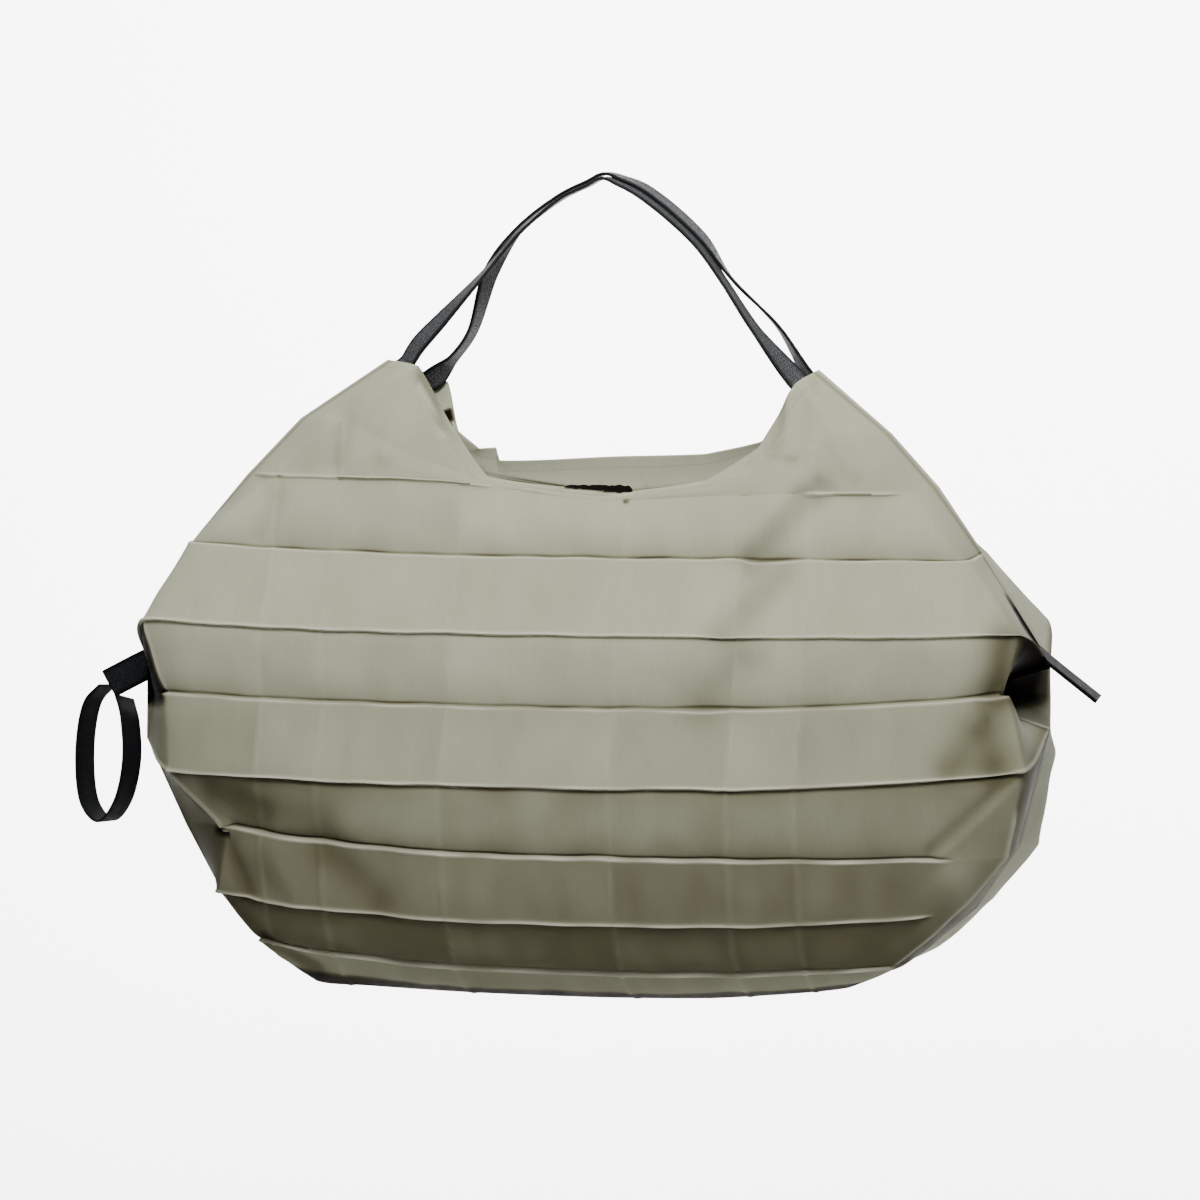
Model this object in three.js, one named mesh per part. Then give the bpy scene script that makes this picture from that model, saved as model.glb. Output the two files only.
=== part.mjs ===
// Foldable shopping bag, hung by its handles: a pleated front and back panel sewn together round the
// ends and the bottom, two webbing handles, a pull tab in each end seam and a band loop on the left tab.
// Millimetres. The origin is where the handles hang, +Z is up, +X is to the right, -Y is the front.
import * as THREE from "three";

// Driving dimensions
const CLOTH = 1.2;
const HANDLE = { width: 15, thickness: 2 };
const TAB = { width: 18, thickness: 2.4 };
const BAND = { width: 14, thickness: 1.6 };
const CLOSED = [0.2, 0.2];
const TAB_GAP = 1.9;
const END_GAP = 9.65;
const RIM_TAUTNESS = 0.75;
const SEWN_SHARES = [0.55, 0];
const PLEAT_SWELL = 2.5;
const ROWS_PER_PLEAT = 3;
const COLUMNS_PER_SPAN = 4;
const STEPS_PER_SPAN = 5;

// Sections of the panels from the mouth down, one row per fold line. Depths are measured from the
// middle plane. seam: x and z where the line meets the end seam. corner: x, depth and z where it turns
// round the end of the bag. mid: depth and z half way along. gaps: half the opening of the left and the
// right end seam there. heightPower: how its height runs out to the corners, if not as HEIGHT_POWER.
const FOLDS = [
  {
    name: "shoulder", gaps: CLOSED, mid: [27.5, -183.5], heightPower: 1.95,
    leftSeam: [-183, -141], leftCorner: [-155, 20, -141],
    rightCorner: [146, 20, -147], rightSeam: [170, -147],
    backRightCorner: [146, 20, -147],
  },
  {
    name: "peak_1", gaps: CLOSED, mid: [29.5, -186], heightPower: 0.2,
    leftSeam: [-216, -175], leftCorner: [-197, 17, -174],
    rightCorner: [180, 16, -181], rightSeam: [198, -178],
    backRightCorner: [180, 16, -181],
  },
  {
    name: "valley_2", gaps: CLOSED, mid: [44, -218],
    leftSeam: [-249, -214], leftCorner: [-244, 26, -213],
    rightCorner: [216, 24, -218], rightSeam: [224, -216],
    backRightCorner: [220, 31, -216],
  },
  {
    name: "peak_3", gaps: [TAB_GAP, END_GAP], mid: [76, -261],
    leftSeam: [-278, -290], leftCorner: [-266, 58, -258],
    rightCorner: [258, 56, -260], rightSeam: [264, -282],
    backRightCorner: [256, 55, -258],
  },
  {
    name: "valley_4", gaps: [END_GAP, END_GAP], mid: [76, -303],
    leftSeam: [-276, -306], leftCorner: [-254, 50, -301],
    rightCorner: [247, 52, -298], rightSeam: [206, -300],
    backRightCorner: [259, 55, -302],
  },
  {
    name: "peak_5", gaps: CLOSED, mid: [106, -346],
    leftSeam: [-279, -334], leftCorner: [-249, 62, -346],
    rightCorner: [259, 62, -343], rightSeam: [264, -318],
    backRightCorner: [258, 62, -344],
  },
  {
    name: "valley_6", gaps: CLOSED, mid: [97, -387],
    leftSeam: [-255, -386], leftCorner: [-217, 56, -378],
    rightCorner: [244, 56, -386], rightSeam: [246, -386],
    backRightCorner: [252, 56, -393],
  },
  {
    name: "peak_7", gaps: CLOSED, mid: [85, -428],
    leftSeam: [-234, -425], leftCorner: [-223, 47, -420],
    rightCorner: [214, 52, -420], rightSeam: [222, -424],
    backRightCorner: [226, 52, -425],
  },
  {
    name: "valley_8", gaps: CLOSED, mid: [56, -461],
    leftSeam: [-202, -452], leftCorner: [-202, 40, -450],
    rightCorner: [178, 42, -455], rightSeam: [190, -452],
    backRightCorner: [196, 42, -453],
  },
  {
    name: "bottom_seam", gaps: CLOSED, mid: [0, -484],
    leftSeam: [-194, -463], leftCorner: [-175, 0, -479],
    rightCorner: [146, 0, -474], rightSeam: [160, -468],
    backRightCorner: [146, 0, -474],
  },
];

// Where along a fold its shape is worked out, as shares of the way from the middle to a corner.
const INNER_SHARES = [0.82, 0.45];
const DEPTH_POWER = 3.4;
const HEIGHT_POWER = 2.4;

// The rims from the left peak to the right peak: x, depth and z, one row per station.
const FRONT_RIM = [
  { station: "left ridge", at: [-130, 1, -106] },
  { station: "left handle edge", at: [-108, 16.5, -109] },
  { station: "left slope", at: [-87, 24, -143] },
  { station: "left foot", at: [-65, 25.5, -173] },
  { station: "middle", at: [14, 26, -181.5] },
  { station: "right foot", at: [64, 23, -174] },
  { station: "right slope", at: [94, 20, -155] },
  { station: "right handle edge", at: [115, 15, -118] },
  { station: "right ridge", at: [127, 1, -110] },
];
const BACK_RIM = [
  { station: "left ridge", at: [-130, 1, -106] },
  { station: "left handle edge", at: [-97, 21, -127] },
  { station: "left slope", at: [-92, 20, -151] },
  { station: "left foot", at: [-69, 25, -166.5] },
  { station: "middle", at: [4, 28, -163.5] },
  { station: "right foot", at: [56, 26, -161.5] },
  { station: "right slope", at: [93, 21, -152.5] },
  { station: "right handle edge", at: [117, 18, -117] },
  { station: "right ridge", at: [127, 1, -110] },
];

// The free length of each handle: a point and the way the strap's outer face looks, a row per station.
// Over the hanging point the back handle lies on the front one.
const FRONT_HANDLE = [
  { station: "above the left peak", at: [-110, -8, -97], face: [-0.6, -0.72, 0.36] },
  { station: "left rise", at: [-96, -11, -80.7], face: [-0.62, -0.62, 0.48] },
  { station: "left middle", at: [-71.5, -9, -54], face: [-0.7, -0.3, 0.65] },
  { station: "left meeting", at: [-50, -6, -31.5], face: [-0.6, -0.15, 0.78] },
  { station: "left crown", at: [-25, -4, -11], face: [-0.5, 0, 0.86] },
  { station: "left of the kink", at: [-9, -4, -3.2], face: [-0.42, 0, 0.9] },
  { station: "hanging point", at: [0, -4, 1], face: [0, 0, 1] },
  { station: "right of the kink", at: [10, -4, -2], face: [0.35, 0, 0.93] },
  { station: "right crown", at: [23, -4, -8.3], face: [0.5, 0, 0.86] },
  { station: "right meeting", at: [54.4, -4, -34.8], face: [0.7, 0, 0.7] },
  { station: "right middle", at: [71.5, -6, -58.3], face: [0.8, -0.1, 0.6] },
  { station: "right rise", at: [97, -11, -87], face: [0.8, -0.2, 0.56] },
];
const BACK_HANDLE = [
  { station: "left rise", at: [-84, 14, -90], face: [-0.82, 0.3, 0.48] },
  { station: "left middle", at: [-68, 10, -54], face: [-0.66, 0.5, 0.52] },
  { station: "left meeting", at: [-52, 6, -29], face: [-0.6, 0.1, 0.8] },
  { station: "left crown", at: [-26.4, 4, -8.7], face: [-0.5, 0, 0.86] },
  { station: "left of the kink", at: [-10.2, 4, -0.8], face: [-0.42, 0, 0.9] },
  { station: "hanging point", at: [0, 4, 3.7], face: [0, 0, 1] },
  { station: "right of the kink", at: [11, 4, 0.5], face: [0.35, 0, 0.93] },
  { station: "right crown", at: [24.4, 4, -5.9], face: [0.5, 0, 0.86] },
  { station: "right meeting", at: [56.4, 4, -33], face: [0.7, 0, 0.7] },
  { station: "right middle", at: [74.2, 6, -57.1], face: [0.8, 0.1, 0.6] },
  { station: "right rise", at: [101, 13, -85.6], face: [0.8, 0.2, 0.56] },
];

// The end tabs and the band loop, in the same form. The right tab is held edge-on in its open seam.
const LEFT_TAB = [
  { station: "inside the seam", at: [-262, 0, -282], face: [0, -1, 0] },
  { station: "at the seam", at: [-279, 0, -290], face: [0, -1, 0] },
  { station: "tip", at: [-302, -1, -302], face: [0.2, -1, 0] },
];
const RIGHT_TAB = [
  { station: "inside the seam", at: [251, -0.35, -272], face: [0.59, -0.2, 0.78] },
  { station: "at the seam", at: [266, -0.35, -283.5], face: [0.59, -0.2, 0.78] },
  { station: "tip", at: [296, -0.35, -306], face: [0.59, -0.2, 0.78] },
];
const PULL_LOOP = [
  { station: "near end at the tab", at: [-303.2, -1, -302.75], face: [-0.36, 0.3, 0.68] },
  { station: "near shoulder", at: [-314, 5, -314], face: [-0.6, 0.5, 0.6] },
  { station: "near side", at: [-320, 8, -345], face: [-0.77, 0.64, 0] },
  { station: "near foot", at: [-316, 4, -375], face: [-0.6, 0.5, -0.6] },
  { station: "low point", at: [-303, -7, -384], face: [0, 0, -1] },
  { station: "far foot", at: [-290, -17, -371], face: [0.6, -0.5, -0.6] },
  { station: "far side", at: [-283, -21, -346], face: [0.77, -0.64, 0] },
  { station: "far shoulder", at: [-286, -13, -322], face: [0.7, -0.58, 0.2] },
  { station: "far end at the tab", at: [-292.6, -1, -309.9], face: [0.68, -0.56, 0.36] },
];

// Colours and finishes
const SAGE = new THREE.Color("#acac9b");
const CHARCOAL = new THREE.Color("#3b3d40");
const BLACK = new THREE.Color("#1a1c20");

// A smooth line through stations
function lineThrough(points) {
  const stations = points.map((p) => new THREE.Vector3(...p));
  return new THREE.CatmullRomCurve3(stations, false, "centripetal");
}

// A rim through stations, drawn nearly straight from one to the next
function tautLine(points) {
  const smooth = lineThrough(points);
  const stations = points.map((p) => new THREE.Vector3(...p));
  const spans = stations.length - 1;
  const getPoint = (t) => {
    const span = Math.min(Math.floor(t * spans), spans - 1);
    const straight = stations[span].clone().lerp(stations[span + 1], t * spans - span);
    return smooth.getPoint(t).lerp(straight, RIM_TAUTNESS);
  };
  return { getPoint };
}

// One fold line from the left end seam, round the left corner, across the middle to the right seam
function foldLine(fold, side) {
  const [midDepth, midHeight] = fold.mid;
  const rightCorner = side < 0 ? fold.rightCorner : fold.backRightCorner;
  const between = (corner, share) => [
    corner[0] * share,
    midDepth + (corner[1] - midDepth) * share ** DEPTH_POWER,
    midHeight + (corner[2] - midHeight) * share ** (fold.heightPower ?? HEIGHT_POWER),
  ];
  const leftShares = INNER_SHARES.map((share) => between(fold.leftCorner, share));
  const rightShares = INNER_SHARES.map((share) => between(rightCorner, share)).reverse();
  return lineThrough([
    [fold.leftSeam[0], 0, fold.leftSeam[1]],
    fold.leftCorner,
    ...leftShares,
    [0, midDepth, midHeight],
    ...rightShares,
    rightCorner,
    [fold.rightSeam[0], 0, fold.rightSeam[1]],
  ]);
}

// The rows of a panel: the rim, then each fold, with plain rows between that swell a little
function panelRows(rim, side) {
  const lines = [tautLine(rim.map((row) => row.at)), ...FOLDS.map((fold) => foldLine(fold, side))];
  const gaps = [CLOSED, ...FOLDS.map((fold) => fold.gaps)];
  const columns = COLUMNS_PER_SPAN * (rim.length - 1);
  const sampled = lines.map((line) =>
    Array.from({ length: columns + 1 }, (_, i) => line.getPoint(i / columns))
  );
  const { lerp } = THREE.MathUtils;
  const rows = [];
  for (let k = 0; k + 1 < sampled.length; k++) {
    for (let step = 0; step < ROWS_PER_PLEAT; step++) {
      const share = step / ROWS_PER_PLEAT;
      const [left, right] = gaps[k].map((gap, end) => lerp(gap, gaps[k + 1][end], share));
      const points = sampled[k].map((above, i) => {
        const below = sampled[k + 1][i];
        const fall = below.clone().sub(above);
        const out = new THREE.Vector3(0, -fall.z, fall.y).normalize();
        const swell = PLEAT_SWELL * Math.sin(Math.PI * share) * Math.sin((Math.PI * i) / columns);
        return above.clone().lerp(below, share).addScaledVector(out, swell);
      });
      rows.push({ points, gaps: points.map((_, i) => lerp(left, right, i / columns)) });
    }
  }
  const points = sampled.at(-1);
  rows.push({ points, gaps: points.map((_, i) => lerp(...gaps.at(-1), i / columns)) });
  return rows;
}

// The way out of the cloth at each point of a grid, with depth counted as positive y
function gridNormals(grid) {
  const at = (r, c) => grid[Math.max(0, Math.min(grid.length - 1, r))][c];
  return grid.map((row, r) =>
    row.map((_, c) => {
      const left = row[Math.max(0, c - 1)];
      const right = row[Math.min(row.length - 1, c + 1)];
      const along = right.clone().sub(left);
      const down = at(r + 1, c).clone().sub(at(r - 1, c));
      return along.cross(down).normalize();
    })
  );
}

// A closed solid between the two faces of a panel
function solidBetween({ outer, inner, side }) {
  const rows = outer.length;
  const columns = outer[0].length;
  const points = [...outer.flat(), ...inner.flat()];
  const outside = (r, c) => r * columns + c;
  const inside = (r, c) => rows * columns + r * columns + c;
  const index = [];
  const quad = (a, b, c, d) => index.push(...(side > 0 ? [a, c, b, a, d, c] : [a, b, c, a, c, d]));
  for (let r = 0; r + 1 < rows; r++) {
    for (let c = 0; c + 1 < columns; c++) {
      quad(outside(r, c), outside(r + 1, c), outside(r + 1, c + 1), outside(r, c + 1));
      quad(inside(r, c), inside(r, c + 1), inside(r + 1, c + 1), inside(r + 1, c));
    }
    quad(outside(r + 1, 0), outside(r, 0), inside(r, 0), inside(r + 1, 0));
    const last = columns - 1;
    quad(outside(r, last), outside(r + 1, last), inside(r + 1, last), inside(r, last));
  }
  for (let c = 0; c + 1 < columns; c++) {
    const last = rows - 1;
    quad(outside(0, c), outside(0, c + 1), inside(0, c + 1), inside(0, c));
    quad(outside(last, c + 1), outside(last, c), inside(last, c), inside(last, c + 1));
  }
  const geometry = new THREE.BufferGeometry();
  geometry.setAttribute("position", new THREE.Float32BufferAttribute(points.flatMap((p) => p.toArray()), 3));
  geometry.setIndex(index);
  geometry.computeVertexNormals();
  return geometry;
}

// The two faces of a panel of cloth: side is -1 for the front and 1 for the back
function panelFaces(rim, side) {
  const rows = panelRows(rim, side);
  const grid = rows.map((row) => row.points);
  const normals = gridNormals(grid);
  const outer = grid.map((row, r) =>
    row.map((p, c) => {
      const clear = rows[r].gaps[c] + CLOTH * Math.abs(normals[r][c].y);
      return new THREE.Vector3(p.x, Math.max(p.y, clear), p.z);
    })
  );
  const inner = outer.map((row, r) =>
    row.map((p, c) => {
      const q = p.clone().addScaledVector(normals[r][c], -CLOTH);
      q.y = Math.max(q.y, rows[r].gaps[c]);
      return q;
    })
  );
  const placed = (points) => points.map((row) => row.map((p) => new THREE.Vector3(p.x, side * p.y, p.z)));
  return { outer: placed(outer), inner: placed(inner), side };
}

// Where a strap is sewn to the inside of a peak, from below the rim up to it, between two columns
function sewnStations(panel, { near, far, clear }) {
  return SEWN_SHARES.map((share) => {
    const edge = (c) => panel.inner[0][c].clone().lerp(panel.inner[1][c], share);
    const down = panel.inner[1][near].clone().sub(panel.inner[0][near]);
    const face = edge(far).sub(edge(near)).cross(down).normalize();
    if (face.y * panel.side < 0) face.negate();
    const middle = edge(near).lerp(edge(far), 0.5);
    const at = middle.addScaledVector(face, -clear - HANDLE.thickness / 2);
    return { station: "sewn to the peak", at: at.toArray(), face: face.toArray() };
  });
}

// A handle from its left peak to its right peak; the seats say between which columns it is sewn
function handleSolid(panel, free, seats) {
  const left = sewnStations(panel, seats.left);
  const right = sewnStations(panel, seats.right).reverse();
  return strapSolid([...left, ...free, ...right], HANDLE);
}

// A flat strap along stations, with its outer face turned as each station says
function strapSolid(stations, { width, thickness }) {
  const path = lineThrough(stations.map((row) => row.at));
  const faces = lineThrough(stations.map((row) => row.face));
  const steps = STEPS_PER_SPAN * (stations.length - 1);
  const bevel = thickness / 3;
  const section = [
    [-width / 2, thickness / 2 - bevel],
    [-width / 2 + bevel, thickness / 2],
    [width / 2 - bevel, thickness / 2],
    [width / 2, thickness / 2 - bevel],
    [width / 2, bevel - thickness / 2],
    [width / 2 - bevel, -thickness / 2],
    [-width / 2 + bevel, -thickness / 2],
    [-width / 2, bevel - thickness / 2],
  ];
  const sides = section.length;
  const points = [];
  for (let step = 0; step <= steps; step++) {
    const centre = path.getPoint(step / steps);
    const ahead = path.getTangent(step / steps);
    const face = faces.getPoint(step / steps);
    face.addScaledVector(ahead, -face.dot(ahead)).normalize();
    const across = new THREE.Vector3().crossVectors(ahead, face);
    for (const [u, v] of section) {
      points.push(centre.clone().addScaledVector(across, u).addScaledVector(face, v));
    }
  }
  const index = [];
  for (let step = 0; step < steps; step++) {
    for (let k = 0; k < sides; k++) {
      const a = step * sides + k;
      const b = step * sides + ((k + 1) % sides);
      index.push(a, b, b + sides, a, b + sides, a + sides);
    }
  }
  const last = steps * sides;
  for (let k = 1; k + 1 < sides; k++) {
    index.push(0, k + 1, k);
    index.push(last, last + k, last + k + 1);
  }
  const geometry = new THREE.BufferGeometry();
  geometry.setAttribute("position", new THREE.Float32BufferAttribute(points.flatMap((p) => p.toArray()), 3));
  geometry.setIndex(index);
  geometry.computeVertexNormals();
  return geometry;
}

// One named piece with a finish of its own
function piece(name, geometry, color, roughness) {
  const mesh = new THREE.Mesh(geometry, new THREE.MeshStandardMaterial({ color, roughness, metalness: 0 }));
  mesh.name = name;
  return mesh;
}

const frontPanel = panelFaces(FRONT_RIM, -1);
const backPanel = panelFaces(BACK_RIM, 1);
const LAST_COLUMN = COLUMNS_PER_SPAN * (FRONT_RIM.length - 1);
const RIGHT_COLUMN = LAST_COLUMN - COLUMNS_PER_SPAN;
const FRONT_SEATS = {
  left: { near: 0, far: COLUMNS_PER_SPAN, clear: 1.1 },
  right: { near: RIGHT_COLUMN, far: LAST_COLUMN, clear: 0.75 },
};
const BACK_SEATS = {
  left: { near: 2, far: COLUMNS_PER_SPAN, clear: 0.9 },
  right: { near: RIGHT_COLUMN, far: LAST_COLUMN, clear: 0.55 },
};

const bag = new THREE.Group();
bag.add(
  piece("front_panel", solidBetween(frontPanel), SAGE, 0.6),
  piece("back_panel", solidBetween(backPanel), SAGE, 0.6),
  piece("front_handle", handleSolid(frontPanel, FRONT_HANDLE, FRONT_SEATS), CHARCOAL, 0.55),
  piece("back_handle", handleSolid(backPanel, BACK_HANDLE, BACK_SEATS), CHARCOAL, 0.55),
  piece("left_tab", strapSolid(LEFT_TAB, TAB), CHARCOAL, 0.6),
  piece("pull_loop", strapSolid(PULL_LOOP, BAND), BLACK, 0.7),
  piece("right_tab", strapSolid(RIGHT_TAB, TAB), CHARCOAL, 0.6)
);

export default bag;
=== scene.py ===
"""Foldable shopping bag hung by its handles: pleated cloth, webbing and an elastic band."""
import math
from collections import namedtuple

import bpy
import numpy as np
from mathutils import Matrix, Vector, noise


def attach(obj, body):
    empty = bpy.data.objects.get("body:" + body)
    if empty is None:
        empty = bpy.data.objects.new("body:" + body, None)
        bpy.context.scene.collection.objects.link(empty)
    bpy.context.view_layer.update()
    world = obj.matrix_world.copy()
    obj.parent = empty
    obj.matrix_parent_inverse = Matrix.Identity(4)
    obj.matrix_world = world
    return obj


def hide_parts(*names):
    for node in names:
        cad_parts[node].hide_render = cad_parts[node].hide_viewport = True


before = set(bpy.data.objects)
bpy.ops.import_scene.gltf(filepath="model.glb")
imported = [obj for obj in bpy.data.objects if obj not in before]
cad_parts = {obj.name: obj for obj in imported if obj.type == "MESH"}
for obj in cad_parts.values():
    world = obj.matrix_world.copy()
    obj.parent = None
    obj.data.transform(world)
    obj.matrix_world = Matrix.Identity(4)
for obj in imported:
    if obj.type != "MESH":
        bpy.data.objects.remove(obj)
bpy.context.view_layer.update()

# Sizes in millimetres. A panel's depth is counted outwards from the plane of the end seams.
MM = 0.001
TINY = 1e-9
CLOTH = 0.7
CAD_CLOTH = 1.2
HANDLE = {"width": 15, "thickness": 1.9}
TAB = {"width": 18, "thickness": 2.3}
BAND = {"width": 14, "thickness": 1.5}
FRONT = -1
BACK = 1
CLOSED = (0.2, 0.2)

# Fold lines from the mouth down, near those of the solids: some corners follow the photo more closely.
# gaps: half the opening of the left and right end seam. swell: how far the strip above the line bows out.
# pressed: the x from and to which the fold is sharp. dark: the painted shade beside it. mid: depth and z
# half way along. Seams: x and z. Corners: x, depth and z.
Fold = namedtuple("Fold", (
    "name", "kind", "gaps", "swell", "pressed", "dark", "mid",
    "left_seam", "left_corner", "right_corner", "right_seam", "back_corner",
))
FOLDS = [
    Fold("shoulder", "plain", CLOSED, 1.0, (0, 0), 0, (28.4, -183.5),
         (-183, -141), (-155, 20, -141), (146, 20, -147), (170, -147), (146, 20, -147)),
    Fold("peak_1", "ridge", CLOSED, 1.0, (-205, 172), 0.16, (29.5, -186),
         (-216, -175), (-197, 17, -174), (180, 16, -181), (198, -178), (180, 16, -181)),
    Fold("valley_2", "groove", CLOSED, 2.5, (-250, 222), 0.3, (44, -218),
         (-249, -214), (-244, 26, -213), (216, 24, -218), (224, -216), (220, 31, -216)),
    Fold("peak_3", "ridge", (1.9, 9.65), 1.0, (-275, 268), 0.2, (76, -261),
         (-278, -290), (-266, 58, -258), (252, 56, -258.5), (264, -282), (256, 55, -258)),
    Fold("valley_4", "groove", (9.65, 9.65), 1.0, (-258, 246), 0.26, (76, -303),
         (-276, -306), (-254, 50, -301), (244, 52, -293), (206, -300), (259, 55, -302)),
    Fold("peak_5", "ridge", CLOSED, 1.0, (-285, 272), 0.42, (106, -346),
         (-279, -334), (-249, 62, -346), (253.5, 62, -336), (264, -318), (258, 62, -344)),
    Fold("valley_6", "groove", CLOSED, 1.0, (-212, 208), 0.36, (97, -387),
         (-255, -386), (-217, 56, -378), (244, 56, -386), (246, -386), (252, 56, -393)),
    Fold("peak_7", "ridge", CLOSED, 1.0, (-230, 196), 0.3, (85, -428),
         (-234, -425), (-223, 47, -420), (214, 52, -420), (222, -424), (226, 52, -425)),
    Fold("valley_8", "groove", CLOSED, 1.5, (-205, 182), 0.36, (56, -461),
         (-202, -452), (-202, 40, -450), (178, 42, -455), (190, -452), (196, 42, -453)),
    Fold("bottom_seam", "plain", CLOSED, 2.5, (0, 0), 0, (0, -484),
         (-194, -463), (-175, 0, -479), (146, 0, -474), (160, -468), (146, 0, -474)),
]
INNER_SHARES = (0.82, 0.45)
DEPTH_POWER = 3.4
HEIGHT_POWER = 2.4
HEIGHT_POWERS = {"shoulder": 1.95, "peak_1": 0.2}
RIM_TAUTNESS = 0.75
FOLD_TAUTNESS = 0.35

# The rims from the left peak to the right peak: x, depth and z.
FRONT_RIM = {
    "left ridge": (-130, 1, -106),
    "left handle edge": (-108, 16.5, -109),
    "left slope": (-87, 24, -143),
    "left foot": (-65, 25.5, -173),
    "middle": (14, 27.2, -181.5),
    "right foot": (64, 23, -174),
    "right slope": (94, 20, -155),
    "right handle edge": (115, 15, -118),
    "right ridge": (127, 1, -110),
}
BACK_RIM = {
    "left ridge": (-130, 1, -106),
    "left handle edge": (-98, 21, -120),
    "left slope": (-91.5, 20, -149),
    "left foot": (-69, 25, -166.5),
    "middle": (4, 28, -163.5),
    "right foot": (56, 26, -161.5),
    "right slope": (93, 21, -152.5),
    "right handle edge": (117, 18, -117),
    "right ridge": (127, 1, -110),
}

# How finely a panel is divided: columns in the four spans from a seam to the middle, and the rows of a
# pleat as shares of its height, closer together beside the folds. The inside takes some of those rows.
SPAN_COLUMNS = (28, 32, 48, 48)
PLEAT_ROWS = (0, 0.012, 0.026, 0.044, 0.068, 0.1, 0.15, 0.21, 0.28, 0.35, 0.42,
              0.5, 0.58, 0.65, 0.72, 0.79, 0.85, 0.9, 0.932, 0.956, 0.974, 0.988)
INSIDE_ROWS = (0, 2, 4, 6, 9, 12, 15, 17, 19, 21)
SHOULDER_ROWS = (0, 0.05, 0.12, 0.2, 0.36, 0.5, 0.64, 0.78, 0.9)

# Relief of the loose cloth: how high each layer of noise is and how wide. Strips lower than FULL_HEIGHT
# bow out less, and so does the cloth close to the end seams.
Relief = namedtuple("Relief", "rise scale layer")
RELIEF = (Relief(1.4, 42, 0), Relief(0.6, 17, 20))
LAYER_STEP = 3.17
LOOSE_POWER = 0.6
FULL_HEIGHT = 30
END_WINDOW = 0.6
# How far below the rim the cloth grows from its own thickness to that of the solids.
THICKENING = (20, 40)

# Fold edges: the lip of a ridge stands out over a tuck, a groove sinks between a curl and a bead.
# Painted highlight lines and painted shade run beside each fold.
LIP = 1.2
LIP_REACH = 1.3
TUCK = 2.2
TUCK_REACH = 4.0
EDGE = 0.6
GROOVE = 3.0
CURL = 2.2
CURL_REACH = 9.0
BEAD = 1.0
BEAD_REACH = 1.5
LINE = 1.2
THIN_LINE = 0.85
FINE_LINE = 0.7
SHADOW_REACH = 8.0
# Painted shade and painted highlight lines along the folds: how far from the fold they run, and how dark
# or light they are.
TUCK_LINE_AT = 1.5
GROOVE_LINE = {"at": 0.3, "dark": 2.8}
BEAD_LINE = {"at": 1.2, "mark": 0.9}
# How much the painted highlight and shade lines along the folds vary in strength, at random here and
# there.
LINE_PATCHES = {"mean": 0.75, "range": 0.7, "least": 0.3, "most": 1.1, "scale": 24, "layer": 80}
# How far the folds wander up and down.
WANDER = {"rise": 0.8, "spacing": 40.0, "scale": 26, "layer": 60}
# How a fold fades in and out round the ends of its pressed length.
FADE_BEYOND = 8
FADE_WITHIN = 4
# How much sooner the folds of the back panel fade at the right end.
BACK_FADE = 26
# Where the first fold runs into the front rim and doesn't show.
RIM_BREAK = (-62, 122)

# Painted shade on each strip of cloth, from the mouth down: 1 is deep shade, and 2 is black shadow.
BLACK = 2
PLEAT_SHADE = (0.03, 0.04, 0.09, 0.17, 0.11, 0.46, 0.58, 0.82, 0.93, 0.72)
# The back panel takes a quarter of that painted shade.
BACK_SHADE = 0.25
FACET_SHADE = 0.09
FACET_SEED = 11
FACET_ENDS = (-300, 300)
MOTTLE = {"dark": 0.08, "stretch": (1, 0.35), "scale": 15, "layer": 40}
# The part of a strip in which it takes on the painted shade of the next one below or above.
BLEND_BELOW = (0.3, 1.0)
BLEND_ABOVE = (0.0, 0.7)
# A painted shadow along the lowest edge of the bottom strip, where it turns under.
UNDERSIDE_SHADOW = {"top": 9.55, "bottom": 9.7, "dark": 1.2}

# Painted shade and painted black shadow in the hollows, gaps and folds of the faces that turn round the
# two ends. Levels are counted in fold lines from the rim, and places in stations from the seam, with the
# corner at 1. taper: how far the lower edge sinks from the seam to the corner. soft and blur: how softly a
# painted shade ends up and down, and along.
EndShadow = namedtuple("EndShadow", "name end top bottom taper start stop soft blur dark")
RIGHT_HOLLOW = EndShadow("right hollow", "right", 4.0, 5.42, -0.3, -0.5, 0.86, 0.12, 0.24, 2.0)
FRONT_END_SHADOWS = [
    EndShadow("left hollow", "left", 4.0, 5.26, -0.14, -0.5, 0.92, 0.1, 0.12, 2.0),
    RIGHT_HOLLOW,
    EndShadow("left gusset", "left", 6.05, 8.0, 0, -0.5, 0.97, 0.12, 0.05, 0.35),
    EndShadow("dark side of the left ridge", "left", 6.1, 6.2, 0.6, 0.6, 0.95, 0.3, 0.14, 0.9),
    EndShadow("left foot", "left", 8.1, 9.7, 0, -0.5, 0.85, 0.1, 0.1, 0.6),
    EndShadow("slit in the right seam", "right", 3.42, 4.02, 0, -0.5, 0.28, 0.06, 0.05, 2.0),
    EndShadow("gap under the right fold", "right", 6.0, 6.3, 0, -0.5, 0.9, 0.26, 0.14, 1.1),
    EndShadow("lower right edge", "right", 6.3, 9.3, 0, -0.5, 0.97, 0.15, 0.05, 0.5),
    EndShadow("gap in the lower right seam", "right", 6.5, 7.6, 0, -0.5, 0.1, 0.3, 0.08, 1.4),
]
BACK_END_SHADOWS = [
    EndShadow("left hollow", "left", 4.1, 5.0, 0, -0.5, 0.4, 0.3, 0.45, 0.9),
    RIGHT_HOLLOW,
]
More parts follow.
